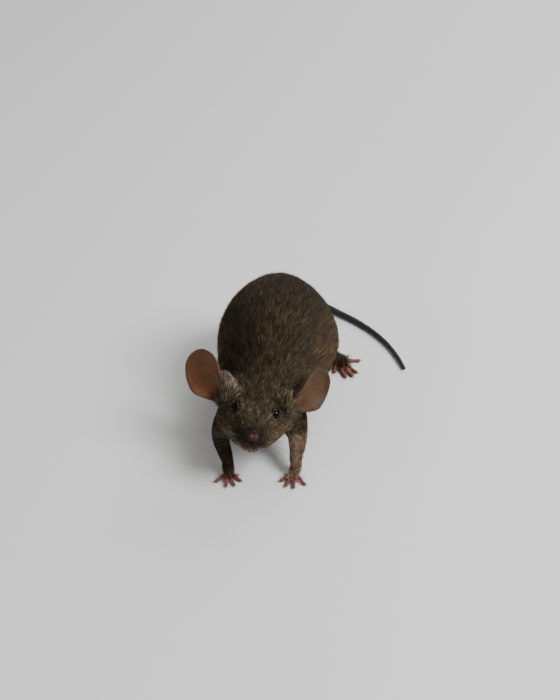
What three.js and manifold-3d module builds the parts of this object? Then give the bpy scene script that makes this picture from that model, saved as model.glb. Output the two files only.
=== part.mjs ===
// House mouse, life size, standing with its head raised. Millimetres, +Z up.
// The mouse faces -Y, its left side is +X, and the solids reach to the tips of its coat.
import * as THREE from "three";
import { LoftGeometry } from "three/addons/geometries/LoftGeometry.js";
import { mergeVertices } from "three/addons/utils/BufferGeometryUtils.js";
import Module from "manifold-3d";

const wasm = await Module();
wasm.setup();

// ---- driving dimensions ----
const partingGap = 0.3; // clear space between neighbouring parts
const bodySides = 20; // facets round the head and trunk
const ringsPerStation = 2; // rings between two body stations

// Head: a frame at the tip of the nose, pitched up, turned and tipped a little to one side.
const noseTip = new THREE.Vector3(0.4, -6.0, 21.0);
const headPitchDeg = 14;
const headYawDeg = 7.5;
const headRollDeg = 9;

// Each head station: distance behind the nose, half width, top, bottom, height of the widest point.
const headStations = [
  [0.5, 1.6, 1.1, -1.8, -0.4],
  [1.5, 3.0, 1.8, -3.7, -1.2],
  [3.8, 4.9, 2.8, -6.1, -2.2],
  [7.2, 6.4, 4.3, -7.5, -2.8],
  [11.5, 8.3, 6.1, -8.2, -2.8],
  [15.6, 10.0, 7.4, -8.6, -2.2],
];
// Each trunk station: distance along the mouse, half width, top, bottom, height of the widest point.
const trunkStations = [
  [17.5, 12.4, 28.4, 7.2, 16.0],
  [25.0, 14.6, 33.0, 5.4, 16.0],
  [33.5, 16.2, 36.0, 4.8, 16.0],
  [42.0, 17.8, 36.8, 4.6, 15.5],
  [50.0, 17.0, 34.8, 5.0, 15.0],
  [57.0, 13.2, 29.8, 6.4, 14.2],
  [62.0, 8.2, 22.8, 8.0, 13.4],
  [65.0, 4.2, 17.4, 9.6, 13.0],
  [66.4, 1.6, 14.4, 11.4, 12.8],
];
const trunkPowers = { above: 1.12, below: 0.95 }; // above 1 the rings narrow towards the spine
const neckFrontStation = 16.2; // behind the nose, where the head ends and the neck starts
const neckBackY = 17.5; // along the mouse, where the neck ends and the trunk starts
const rumpFrontY = 38; // along the mouse, where the chest ends and the rump starts

// Eyes, nose and jaw, in the head frame: sideways, behind the nose, above its axis.
const eyeRadius = 1.65;
const eyeAt = [5.0, 10.5, 2.05];
const nosePad = { halfWidth: 1.55, halfDepth: 1.0, halfHeight: 1.15, behind: 0.45, above: -0.35 };
const mouthLine = { above: -3.6, back: 7.4 };

// Ears: a scoop, rolled up at its root and opening into a shallow dish.
const earThickness = 0.8;
const earRootSink = 2.0; // how far the scoop's root sits back into the head
const earOpenShare = 0.42; // share of the length where the dish is clear of the head
const earInnerRoot = 0.3; // share of the scoop's inner half that is left at its root
const earInnerShare = 0.62; // share of the length where the inner half is whole
const earWidestShare = 0.5;
const earCup = 1.2; // how far the tip comes forward
// Length, root, the way from root to tip, and where its hollow side looks, with x outwards.
const ears = {
  left: { length: 14.1, root: [9.2, 15.4, 1.6], along: [0.52, 0.44, 0.73], facing: [0.78, -0.62, 0.1] },
  right: { length: 14.8, root: [8.5, 15.6, 1.9], along: [0.6, 0.46, 0.66], facing: [0.58, -0.8, 0.06] },
};
// Each ear row: share of its length, half width along the skin, half angle of its roll in degrees.
const earRows = [
  [0.0, 3.2, 96],
  [0.1, 4.6, 84],
  [0.25, 5.95, 67],
  [0.43, 6.75, 53],
  [0.61, 6.65, 44],
  [0.78, 5.75, 37],
  [0.9, 4.3, 31],
  [0.97, 2.6, 26],
  [1.0, 1.1, 22],
];

// Legs: points down each limb with the limb's radius there. The left one is given, with x outwards.
const forelegs = {
  left: { shoulder: [8.2, 13.5, 12.5], elbow: [10.0, 9.4, 8.9], wrist: [10.1, 4.0, 3.7], toeYawDeg: -8 },
  right: { shoulder: [8.2, 13.5, 12.5], elbow: [10.9, 8.6, 8.9], wrist: [8.0, 2.2, 3.7], toeYawDeg: -14 },
};
const forelegRadii = [4.6, 3.0, 1.95];
const hindlegs = {
  left: { heel: [12.4, 60.0], toeYawDeg: 39 },
  right: { heel: [11.6, 58.6], toeYawDeg: 8 },
};
const thighCentre = [10.2, 46.8, 13.2];
const thighRadii = [8.0, 12.0, 10.6];
const knee = [12.8, 41.8, 7.6];
const shankRadii = [3.9, 3.0, 1.9];
const ankleHeight = 3.0;

// Feet: digits as sideways and forward reach of their roots and tips from the wrist or heel.
const digitSides = 5;
const forefoot = {
  palm: [[0, 1.2, 2.9, 1.35], [0, -0.5, 1.5, 1.5], [0, -1.9, 1.0, 1.45], [0, -3.0, 0.8, 1.1]],
  digits: [
    { root: [-1.15, -2.1], tip: [-2.9, -4.0] },
    { root: [-0.45, -2.7], tip: [-1.1, -5.5] },
    { root: [0.45, -2.7], tip: [1.0, -5.6] },
    { root: [1.15, -2.1], tip: [3.5, -3.6] },
  ],
  digitRadius: 0.5,
  clawLength: 1.1,
};
const hindfoot = {
  palm: [[0, 0.6, 2.2, 1.5], [0, -1.6, 1.3, 1.45], [0, -5.0, 1.0, 1.35], [0, -8.4, 0.95, 1.6], [0, -10.6, 0.8, 1.3]],
  digits: [
    { root: [-1.35, -8.4], tip: [-3.4, -10.9] },
    { root: [-1.0, -10.0], tip: [-1.9, -14.6] },
    { root: [0.0, -10.3], tip: [0.1, -15.3] },
    { root: [1.0, -10.0], tip: [2.1, -14.6] },
    { root: [1.4, -8.0], tip: [6.0, -10.2] },
  ],
  digitRadius: 0.58,
  clawLength: 1.3,
};
const clawThickness = 0.5;
const soleSink = 0.25; // how much of each pad the floor flattens

// Tail: a line that leaves the rump, drops to the floor and sweeps round to the mouse's left.
const tailLine = [
  [0.4, 61.5, 12.2], [-0.4, 66.8, 9.2], [-1.6, 71.6, 4.6], [-2.2, 76.6, 1.9], [-0.6, 81.8, 1.45],
  [4.0, 84.4, 1.35], [9.6, 83.0, 1.3], [15.4, 79.5, 1.22], [22.2, 74.9, 1.1], [28.6, 68.9, 1.0],
  [33.7, 61.8, 0.9], [37.6, 53.4, 0.8],
];
const tailRadii = { base: 2.3, onFloor: 1.5, tip: 0.72 };
const tailSides = 8;
const tailDropShare = 0.22; // of the tail's length, above the floor
const tailSteps = 34;
const tailCuts = [0.3, 0.54, 0.77]; // shares of the tail's length where it is parted

// ---- materials ----
const finish = (color, roughness, metalness = 0) =>
  new THREE.MeshStandardMaterial({ color, roughness, metalness });
const coat = finish(0x4b4336, 0.85);
const earSkin = finish(0x6a4d3a, 0.6);
const footSkin = finish(0xa5625a, 0.6);
const tailSkin = finish(0x3f3d3a, 0.7);
const noseSkin = finish(0x9a5f5d, 0.5);
const eyeGloss = finish(0x080706, 0.08);

// ---- small helpers ----
const rad = THREE.MathUtils.degToRad;
const vec = (p) => new THREE.Vector3(p[0], p[1], p[2]);
const mirrored = (p, side) => [p[0] * side, p[1], p[2]];

// A closed three.js geometry, placed by a matrix, as a solid.
function solid(geometry, matrix = new THREE.Matrix4()) {
  const plain = new THREE.BufferGeometry();
  plain.setAttribute("position", geometry.getAttribute("position").clone());
  plain.setIndex(geometry.index);
  const merged = mergeVertices(plain.applyMatrix4(matrix), 1e-4);
  const vertProperties = merged.attributes.position.array;
  const triVerts = new Uint32Array(merged.index.array);
  const made = new wasm.Manifold(new wasm.Mesh({ numProp: 3, vertProperties, triVerts }));
  if (made.volume() > 0) return made;
  for (let i = 0; i < triVerts.length; i += 3)
    [triVerts[i + 1], triVerts[i + 2]] = [triVerts[i + 2], triVerts[i + 1]];
  return new wasm.Manifold(new wasm.Mesh({ numProp: 3, vertProperties, triVerts }));
}

// A closed loft through rings of points, whichever way round the rings run.
function loft(sections) {
  const [first, second] = sections;
  const normal = new THREE.Vector3();
  const step = new THREE.Vector3();
  first.forEach((p, i) => {
    normal.add(new THREE.Vector3().crossVectors(p, first[(i + 1) % first.length]));
    step.add(second[i]).sub(p);
  });
  const rings = normal.dot(step) > 0 ? sections : sections.map((ring) => [...ring].reverse());
  return solid(new LoftGeometry(rings, { capStart: true, capEnd: true }));
}

function geometryOf(made) {
  const mesh = made.getMesh();
  const geometry = new THREE.BufferGeometry();
  const positions = new Float32Array(mesh.numVert * 3);
  for (let i = 0; i < mesh.numVert; i++)
    for (let k = 0; k < 3; k++) positions[3 * i + k] = mesh.vertProperties[i * mesh.numProp + k];
  geometry.setAttribute("position", new THREE.BufferAttribute(positions, 3));
  geometry.setIndex(new THREE.BufferAttribute(new Uint32Array(mesh.triVerts), 1));
  geometry.computeVertexNormals();
  return geometry;
}

const ellipsoid = (centre, radii, grow = 0, across = 20) => {
  const ball = new THREE.SphereGeometry(1, across, Math.round(across * 0.6));
  const size = new THREE.Vector3(...radii.map((r) => r + grow));
  return solid(ball, new THREE.Matrix4().makeTranslation(...centre).scale(size));
};

const block = (low, high, matrix) => {
  const size = high.map((h, k) => h - low[k]);
  const middle = high.map((h, k) => (h + low[k]) / 2);
  const shape = new THREE.BoxGeometry(...size).translate(...middle);
  return solid(shape, matrix);
};

const union = (parts) => parts.reduce((all, part) => all.add(part));

// The largest of the pieces that a cut leaves.
const mainPiece = (made) => made.decompose().sort((a, b) => b.volume() - a.volume())[0];

// A ring of points: an oval that is widest at height `middle`, narrower above it than below.
function ovalRing(halfWidth, top, bottom, middle, powers = { above: 1, below: 0.85 }) {
  const ring = [];
  for (let i = 0; i < bodySides; i++) {
    const angle = (2 * Math.PI * i) / bodySides;
    const across = Math.cos(angle);
    const upward = Math.sin(angle);
    const reach = upward > 0 ? top - middle : middle - bottom;
    const power = upward > 0 ? powers.above : powers.below;
    const x = halfWidth * Math.sign(across) * Math.abs(across) ** power;
    const z = middle + reach * Math.sign(upward) * Math.abs(upward) ** power;
    ring.push([x, z]);
  }
  return ring;
}

// Smooth rings through a few key rings, each point following its own spline.
function smoothRings(keyRings, between) {
  const steps = (keyRings.length - 1) * between;
  const curves = keyRings[0].map(
    (_, i) => new THREE.CatmullRomCurve3(keyRings.map((ring) => ring[i]), false, "centripetal"),
  );
  return Array.from({ length: steps + 1 }, (_, k) => curves.map((c) => c.getPoint(k / steps)));
}

// A limb or digit: round sections along a spline through `points`, with rounded ends.
function limb(points, radii, { sides = 12, steps = 10, grow = 0 } = {}) {
  const curve = new THREE.CatmullRomCurve3(points.map(vec), false, "centripetal");
  const frames = curve.computeFrenetFrames(steps, false);
  const sizes = new THREE.CatmullRomCurve3(radii.map((r, i) => new THREE.Vector3(i, r, 0)));
  const sections = [];
  const ring = (centre, k, radius) => {
    const section = [];
    for (let i = 0; i < sides; i++) {
      const angle = (2 * Math.PI * i) / sides;
      const out = frames.normals[k].clone().multiplyScalar(Math.cos(angle) * radius);
      out.addScaledVector(frames.binormals[k], Math.sin(angle) * radius);
      section.push(out.add(centre));
    }
    sections.push(section);
  };
  for (let k = 0; k <= steps; k++) {
    const centre = curve.getPointAt(k / steps);
    const radius = sizes.getPoint(curve.getUtoTmapping(k / steps)).y + grow;
    const along = frames.tangents[k].clone().multiplyScalar(radius);
    if (k === 0) ring(centre.clone().addScaledVector(along, -0.85), k, radius * 0.5);
    ring(centre, k, radius);
    if (k === steps) ring(centre.clone().addScaledVector(along, 0.85), k, radius * 0.5);
  }
  return loft(sections);
}

// ---- frames ----
// Head frame: x sideways to the mouse's left, y behind the nose, z above the nose's axis.
const headFrame = new THREE.Matrix4()
  .makeTranslation(noseTip)
  .multiply(new THREE.Matrix4().makeRotationZ(rad(headYawDeg)))
  .multiply(new THREE.Matrix4().makeRotationX(rad(-headPitchDeg)))
  .multiply(new THREE.Matrix4().makeRotationY(rad(headRollDeg)));

// ---- body ----
function bodyShape() {
  const headRings = headStations.map(([behind, width, top, bottom, middle]) =>
    ovalRing(width, top, bottom, middle).map(([x, z]) =>
      new THREE.Vector3(x, behind, z).applyMatrix4(headFrame),
    ),
  );
  const trunkRings = trunkStations.map(([y, width, top, bottom, middle]) =>
    ovalRing(width, top, bottom, middle, trunkPowers).map(([x, z]) => new THREE.Vector3(x, y, z)),
  );
  const sections = smoothRings([...headRings, ...trunkRings], ringsPerStation);
  return loft(sections);
}

const far = 60; // half size of a cutting block, larger than the animal
const half = partingGap / 2;
const beforeHeadPlane = (shift) => block([-far, -far, -far], [far, neckFrontStation + shift, far], headFrame);
const beforeY = (y) => block([-far, -far, -far], [far, y, far]);

const body = bodyShape();
const headWhole = body.intersect(beforeHeadPlane(-half));
const behindHead = body.subtract(beforeHeadPlane(half));
const neck = behindHead.intersect(beforeY(neckBackY - half));
const trunk = behindHead.subtract(beforeY(neckBackY + half));

// ---- head parts ----
const inHead = (p) => vec(p).applyMatrix4(headFrame);

const eyeBall = (side, grow = 0) => {
  const ball = new THREE.SphereGeometry(eyeRadius + grow, 12, 8);
  return solid(ball, new THREE.Matrix4().makeTranslation(inHead(mirrored(eyeAt, side))));
};

const noseShape = (grow = 0) => {
  const centre = [0, nosePad.behind, nosePad.above];
  const radii = [nosePad.halfWidth, nosePad.halfDepth, nosePad.halfHeight];
  return ellipsoid(centre, radii, grow, 10).transform(headFrame.elements);
};

const jawRegion = (grow = 0) =>
  block([-far, -far, -far], [far, mouthLine.back + grow, mouthLine.above + grow], headFrame);

// An ear as closed sections from root to tip: the hollow face, then the back face.
function earShape(side, grow = 0) {
  const ear = side > 0 ? ears.left : ears.right;
  const along = vec(mirrored(ear.along, side)).normalize();
  const facing = vec(mirrored(ear.facing, side));
  facing.addScaledVector(along, -facing.dot(along)).normalize();
  const across = new THREE.Vector3().crossVectors(along, facing);
  const arcPoints = 9;
  const thick = earThickness / 2 + grow;
  const sections = earRows.map(([share, halfArc, rollDeg]) => {
    const roll = rad(rollDeg);
    const radius = halfArc / roll;
    const opened = THREE.MathUtils.smoothstep(share, 0, earOpenShare);
    const innerOpened = THREE.MathUtils.smoothstep(share, 0, earInnerShare);
    const innerShare = earInnerRoot + (1 - earInnerRoot) * innerOpened;
    const beyondWidest = Math.max(0, (share - earWidestShare) / (1 - earWidestShare));
    const centre = vec(mirrored(ear.root, side))
      .addScaledVector(along, share * ear.length)
      .addScaledVector(facing, earCup * beyondWidest ** 2 - earRootSink * (1 - opened));
    const faceRow = [];
    const backRow = [];
    for (let i = 0; i < arcPoints; i++) {
      const spread = (2 * i) / (arcPoints - 1) - 1;
      const turn = roll * (1 + grow / halfArc) * spread * (spread * side < 0 ? innerShare : 1);
      const place = (r) =>
        centre
          .clone()
          .addScaledVector(across, r * Math.sin(turn))
          .addScaledVector(facing, radius - r * Math.cos(turn));
      faceRow.push(place(radius - thick));
      backRow.push(place(radius + thick));
    }
    return [...faceRow, ...backRow.reverse()];
  });
  return loft(sections).transform(headFrame.elements);
}

// ---- legs and feet ----
function forelegShape(side, grow = 0) {
  const { shoulder, elbow, wrist } = side > 0 ? forelegs.left : forelegs.right;
  const points = [shoulder, elbow, wrist].map((p) => mirrored(p, side));
  return limb(points, forelegRadii, { grow, sides: 10, steps: 7 });
}

function shankShape(side, grow = 0) {
  const { heel } = side > 0 ? hindlegs.left : hindlegs.right;
  const ankle = [heel[0], heel[1], ankleHeight];
  const middle = knee.map((k, i) => (k + ankle[i]) / 2);
  middle[2] += 0.8;
  const points = [knee, middle, ankle].map((p) => mirrored(p, side));
  return limb(points, shankRadii, { grow, sides: 10, steps: 6 });
}

const thighShape = (side, grow = 0) => ellipsoid(mirrored(thighCentre, side), thighRadii, grow, 14);

// A foot in its own frame, toes towards -y, with the pads flattened by the floor.
function footShape(design, matrix) {
  const palm = limb(
    design.palm.map((row) => row.slice(0, 3)),
    design.palm.map((row) => row[3]),
    { sides: 7, steps: 5 },
  );
  const pieces = [palm];
  for (const { root, tip } of design.digits) {
    const r = design.digitRadius;
    const between = (t) => [root[0] + (tip[0] - root[0]) * t, root[1] + (tip[1] - root[1]) * t];
    const length = Math.hypot(tip[0] - root[0], tip[1] - root[1]);
    const clawShares = [1, 1 + (0.5 * design.clawLength) / length, 1 + design.clawLength / length];
    const shares = [0, 0.35, 0.7, 0.93, ...clawShares];
    const heights = [1.15, 1.05, 0.6, r - soleSink, 0.55, 0.5, 0.28];
    const points = shares.map((share, i) => [...between(share), heights[i]]);
    const thin = clawThickness / 2;
    const radii = [1.15 * r, r, 0.95 * r, r, 0.7 * r, thin, thin];
    pieces.push(limb(points, radii, { sides: digitSides, steps: 6 }));
  }
  return union(pieces.map((p) => p.transform(matrix.elements)));
}

// The left foot's frame, turned outwards by a few degrees, and mirrored for the right foot.
const footFrame = ([x, y], toeYawDeg, side) =>
  new THREE.Matrix4()
    .makeScale(side, 1, 1)
    .multiply(new THREE.Matrix4().makeTranslation(x, y, 0))
    .multiply(new THREE.Matrix4().makeRotationZ(rad(toeYawDeg)));

function forefootShape(side) {
  const { wrist, toeYawDeg } = side > 0 ? forelegs.left : forelegs.right;
  return footShape(forefoot, footFrame(wrist, toeYawDeg, side));
}

function hindfootShape(side) {
  const { heel, toeYawDeg } = side > 0 ? hindlegs.left : hindlegs.right;
  return footShape(hindfoot, footFrame(heel, toeYawDeg, side));
}

// ---- tail ----
const tailCurve = new THREE.CatmullRomCurve3(tailLine.map(vec), false, "centripetal");
const tailRadiusAt = (t) => {
  const { base, onFloor, tip } = tailRadii;
  if (t < tailDropShare) return THREE.MathUtils.lerp(base, onFloor, t / tailDropShare);
  return THREE.MathUtils.lerp(onFloor, tip, (t - tailDropShare) / (1 - tailDropShare));
};

function tailLength(from, to) {
  const steps = Math.max(4, Math.round((to - from) * tailSteps));
  const sections = [];
  for (let k = 0; k <= steps; k++) {
    const t = from + ((to - from) * k) / steps;
    const centre = tailCurve.getPointAt(t);
    const along = tailCurve.getTangentAt(t);
    const side = new THREE.Vector3().crossVectors(along, new THREE.Vector3(0, 0, 1)).normalize();
    const up = new THREE.Vector3().crossVectors(side, along);
    const radius = tailRadiusAt(t);
    const section = [];
    for (let i = 0; i < tailSides; i++) {
      const angle = (2 * Math.PI * i) / tailSides;
      section.push(
        centre
          .clone()
          .addScaledVector(side, Math.cos(angle) * radius)
          .addScaledVector(up, Math.sin(angle) * radius),
      );
    }
    sections.push(section);
  }
  return loft(sections);
}

// ---- assembly ----
const floorBlock = block([-far * 2, -far * 2, -far], [far * 2, far * 2, 0]);
const sides = { left: 1, right: -1 };
const parts = new Map();
const grown = partingGap;

const earsGrown = union(Object.values(sides).map((s) => earShape(s, grown)));
const eyesGrown = union(Object.values(sides).map((s) => eyeBall(s, grown)));
const legsGrown = union(Object.values(sides).map((s) => forelegShape(s, grown)));
const thighsGrown = union(Object.values(sides).map((s) => thighShape(s, grown)));
const shanksGrown = union(Object.values(sides).map((s) => shankShape(s, grown)));

const headCut = headWhole
  .subtract(eyesGrown)
  .subtract(noseShape(grown))
  .subtract(earsGrown)
  .subtract(legsGrown);
parts.set("head", [headCut.subtract(jawRegion(grown)), coat]);
parts.set("lower_jaw", [headCut.intersect(jawRegion()), coat]);
parts.set("nose", [noseShape(), noseSkin]);
parts.set("neck", [neck.subtract(earsGrown).subtract(legsGrown), coat]);

const trunkCut = trunk.subtract(thighsGrown).subtract(legsGrown).subtract(shanksGrown);
const tailBaseGrown = limb(tailLine.slice(0, 3), [tailRadii.base, tailRadii.base, 2], { grow: grown });
parts.set("chest", [trunkCut.intersect(beforeY(rumpFrontY - half)), coat]);
parts.set("rump", [trunkCut.subtract(beforeY(rumpFrontY + half)).subtract(tailBaseGrown), coat]);

for (const [name, side] of Object.entries(sides)) {
  parts.set("eye_" + name, [eyeBall(side), eyeGloss]);
  parts.set("ear_" + name, [earShape(side).subtract(forelegShape(side, grown)), earSkin]);
  const forepaw = forefootShape(side).subtract(floorBlock);
  parts.set("foreleg_" + name, [forelegShape(side).subtract(floorBlock), coat]);
  parts.set("forefoot_" + name, [forepaw.subtract(forelegShape(side, grown)), footSkin]);
  const shank = shankShape(side).subtract(floorBlock);
  parts.set("thigh_" + name, [thighShape(side).subtract(shankShape(side, grown)), coat]);
  parts.set("shank_" + name, [shank, coat]);
  const hindpaw = hindfootShape(side).subtract(floorBlock);
  parts.set("hindfoot_" + name, [hindpaw.subtract(shankShape(side, grown)), footSkin]);
}

const tailEnds = [0, ...tailCuts, 1];
const curveLength = tailCurve.getLength();
const gapShare = half / curveLength;
for (let i = 0; i + 1 < tailEnds.length; i++) {
  const from = i === 0 ? 0 : tailEnds[i] + gapShare;
  const to = i + 2 === tailEnds.length ? 1 : tailEnds[i + 1] - gapShare;
  parts.set("tail_" + (i + 1), [tailLength(from, to).subtract(floorBlock), tailSkin]);
}

// The origin is on the floor under the middle of the whole mouse.
const mouse = new THREE.Group();
const wholeBox = new THREE.Box3();
for (const [name, [shape, material]] of parts) {
  const mesh = new THREE.Mesh(geometryOf(mainPiece(shape)), material);
  mesh.name = name;
  mouse.add(mesh);
  wholeBox.expandByObject(mesh);
}
const middle = wholeBox.getCenter(new THREE.Vector3());
mouse.position.set(-middle.x, -middle.y, 0);

export default mouse;
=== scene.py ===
import math

import bmesh
import bpy
import numpy as np
from mathutils import Matrix, Vector
from mathutils.bvhtree import BVHTree


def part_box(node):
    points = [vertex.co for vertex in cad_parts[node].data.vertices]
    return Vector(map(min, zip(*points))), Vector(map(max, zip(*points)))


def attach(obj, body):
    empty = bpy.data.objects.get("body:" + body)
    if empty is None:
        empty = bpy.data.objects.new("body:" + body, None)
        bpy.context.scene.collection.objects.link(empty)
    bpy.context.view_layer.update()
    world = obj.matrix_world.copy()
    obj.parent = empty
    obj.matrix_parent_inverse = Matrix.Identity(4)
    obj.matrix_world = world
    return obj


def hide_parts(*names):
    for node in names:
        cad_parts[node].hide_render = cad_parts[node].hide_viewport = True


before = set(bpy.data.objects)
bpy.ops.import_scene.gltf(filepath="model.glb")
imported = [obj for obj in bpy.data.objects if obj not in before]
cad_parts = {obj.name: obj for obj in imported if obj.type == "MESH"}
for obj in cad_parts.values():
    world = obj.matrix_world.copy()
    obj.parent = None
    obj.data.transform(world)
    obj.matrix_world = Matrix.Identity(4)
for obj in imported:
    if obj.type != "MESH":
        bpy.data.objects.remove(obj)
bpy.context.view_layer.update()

mm = 0.001  # everything is modelled in millimetres and brought to metres at the end
rng = np.random.default_rng(11)
bpy.ops.object.select_all(action="DESELECT")

# the mouse's own layout: x to its left, y towards its tail, z up from the floor
layout = {
    "noseTip": (0.4, -6.0, 21.0),
    "headPitch": 14,
    "headRoll": 9,
    "headYaw": 7.5,
    "noseCentre": (0, 0.45, -0.35),  # this one and all head places are in the head's frame
}


def turned(angle, axis):
    return Matrix.Rotation(math.radians(angle), 4, axis)


headInLayout = (
    Matrix.Translation(layout["noseTip"])
    @ turned(layout["headYaw"], "Z")
    @ turned(-layout["headPitch"], "X")
    @ turned(layout["headRoll"], "Y")
)
noseLow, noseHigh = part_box("nose")
homeShift = (noseLow + noseHigh) / 2 / mm - headInLayout @ Vector(layout["noseCentre"])
home = Matrix.Translation(homeShift)
head = home @ headInLayout


def placed(matrix, points):
    turn = np.array(matrix)
    return np.asarray(points, float) @ turn[:3, :3].T + turn[:3, 3]


def atHome(point):
    return home @ Vector(point)


def inHead(point):
    return head @ Vector(point)


def unit(v):
    return v / np.maximum(np.linalg.norm(v, axis=-1, keepdims=True), 1e-9)


def smoothStep(low, high, x):
    t = np.clip((x - low) / (high - low), 0, 1)
    return t * t * (3 - 2 * t)


def gauss(x):
    return np.exp(-(x**2))


def distanceTo(points, start, end):
    along = end - start
    t = np.clip(((points - start) @ along) / (along @ along), 0, 1)
    return np.linalg.norm(points - start - t[:, None] * along, axis=1)


def lineDistance(points, line):
    line = np.array(line)
    return np.min([distanceTo(points, a, b) for a, b in zip(line, line[1:])], axis=0)


# ---- mesh helpers ----
def select(*objs):
    bpy.ops.object.select_all(action="DESELECT")
    for obj in objs:
        obj.select_set(True)
    bpy.context.view_layer.objects.active = objs[0]


def applyModifier(obj, kind, **settings):
    select(obj)
    modifier = obj.modifiers.new(kind, kind)
    for key, value in settings.items():
        setattr(modifier, key, value)
    bpy.ops.object.modifier_apply(modifier=modifier.name)


def join(objs, name):
    select(*objs)
    bpy.ops.object.join()
    obj = bpy.context.object
    obj.name = obj.data.name = name
    return obj


def readPoints(obj):
    points = np.empty(len(obj.data.vertices) * 3, np.float32)
    obj.data.vertices.foreach_get("co", points)
    return points.reshape(-1, 3).astype(float)


def readNormals(obj):
    normals = np.empty(len(obj.data.vertices) * 3, np.float32)
    obj.data.vertex_normals.foreach_get("vector", normals)
    return normals.reshape(-1, 3).astype(float)


def writePoints(obj, points):
    obj.data.vertices.foreach_set("co", np.asarray(points, np.float32).ravel())
    obj.data.update()


def setValue(obj, name, values):
    attribute = obj.data.attributes.new(name, "FLOAT", "POINT")
    attribute.data.foreach_set("value", np.asarray(values, np.float32))


def readValue(obj, name):
    values = np.empty(len(obj.data.vertices), np.float32)
    obj.data.attributes[name].data.foreach_get("value", values)
    return values


def smooth(obj):
    select(obj)
    bpy.ops.object.shade_smooth()
    return obj


def nodeCopy(names, name):
    # a merged copy of some CAD nodes, in millimetres
    shape = bmesh.new()
    for node in names:
        shape.from_mesh(bpy.data.objects[node].data)
    bmesh.ops.remove_doubles(shape, verts=shape.verts, dist=1e-6)
    bmesh.ops.scale(shape, vec=(1 / mm,) * 3, verts=shape.verts)
    mesh = bpy.data.meshes.new(name)
    shape.to_mesh(mesh)
    shape.free()
    obj = bpy.data.objects.new(name, mesh)
    bpy.context.collection.objects.link(obj)
    return obj


def limb(points, radii, name="limb", sides=3, steps=8):
    # a bevelled curve turned into a mesh
    curve = bpy.data.curves.new(name, "CURVE")
    curve.dimensions = "3D"
    curve.bevel_depth = 1
    curve.bevel_resolution = sides
    curve.resolution_u = steps
    curve.use_fill_caps = True
    spline = curve.splines.new("BEZIER")
    spline.bezier_points.add(len(points) - 1)
    for knot, point, radius in zip(spline.bezier_points, points, radii):
        knot.co = point
        knot.radius = radius
        knot.handle_left_type = knot.handle_right_type = "AUTO"
    obj = bpy.data.objects.new(name, curve)
    bpy.context.collection.objects.link(obj)
    select(obj)
    bpy.ops.object.convert(target="MESH")
    return bpy.context.object


def ball(centre, radii, turn=Matrix.Identity(4), segments=24):
    bpy.ops.mesh.primitive_uv_sphere_add(segments=segments, ring_count=segments // 2, radius=1)
    obj = bpy.context.object
    size = Matrix.Diagonal((*radii, 1))
    obj.data.transform(Matrix.Translation(Vector(centre)) @ turn @ size)
    return obj


print("stage: frame loaded, nose at", [round(v, 2) for v in inHead((0, 0, 0))])

# ---- camera ----
camera = {
    "pivot": (6.44, 0, 0),  # the layout point on the floor that the view line swings about
    "azimuth": 7.5,
    "elevation": 37,
    "distance": 290,  # along the view line, to the floor under the pivot
    "rise": 35.7,  # of the picture's middle above it
    "lens": 55.5,
}


def addCamera():
    azimuth, elevation = math.radians(camera["azimuth"]), math.radians(camera["elevation"])
    away = Vector((-math.sin(azimuth), math.cos(azimuth), 0))
    forward = away * math.cos(elevation) - Vector((0, 0, math.sin(elevation)))
    upward = away * math.sin(elevation) + Vector((0, 0, math.cos(elevation)))
    data = bpy.data.cameras.new("camera")
    data.lens = camera["lens"]
    data.clip_start, data.clip_end = 0.01, 10
    obj = bpy.data.objects.new("camera", data)
    bpy.context.collection.objects.link(obj)
    place = atHome(camera["pivot"]) - forward * camera["distance"] + upward * camera["rise"]
    obj.location = place * mm
    obj.rotation_euler = forward.to_track_quat("-Z", "Y").to_euler()
    bpy.context.scene.camera = obj


addCamera()

# ---- zones of the coat ----
# Each zone is a bone with its reach, the coat's depth over it, and its tufts' length, width and number
# for each mm2.
sides = {"left": 1, "right": -1}
legs = {
    "left": {"shoulder": (8.2, 13.5, 12.5), "elbow": (10.0, 9.4, 8.9), "wrist": (10.1, 4.0, 3.7),
             "foreTurn": -8, "heel": (12.4, 60.0, 3.0), "hindTurn": 39},
    "right": {"shoulder": (8.2, 13.5, 12.5), "elbow": (10.9, 8.6, 8.9), "wrist": (8.0, 2.2, 3.7),
              "foreTurn": -14, "heel": (11.6, 58.6, 3.0), "hindTurn": 8},
    "hip": (9.5, 54.0, 18.0),
    "knee": (12.8, 41.8, 7.6),
}


def onSide(point, side):
    return (point[0] * side, point[1], point[2])


zones = []


def addZone(name, start, end, reach, depth, hair, width, number, flow=None):
    start, end = np.array(start, float), np.array(end, float)
    way = unit(end - start) if flow is None else unit(np.array(flow, float))
    zones.append({"name": name, "start": start, "end": end, "reach": reach, "flow": way,
                  "values": np.array([depth, hair, width, number])})


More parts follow.
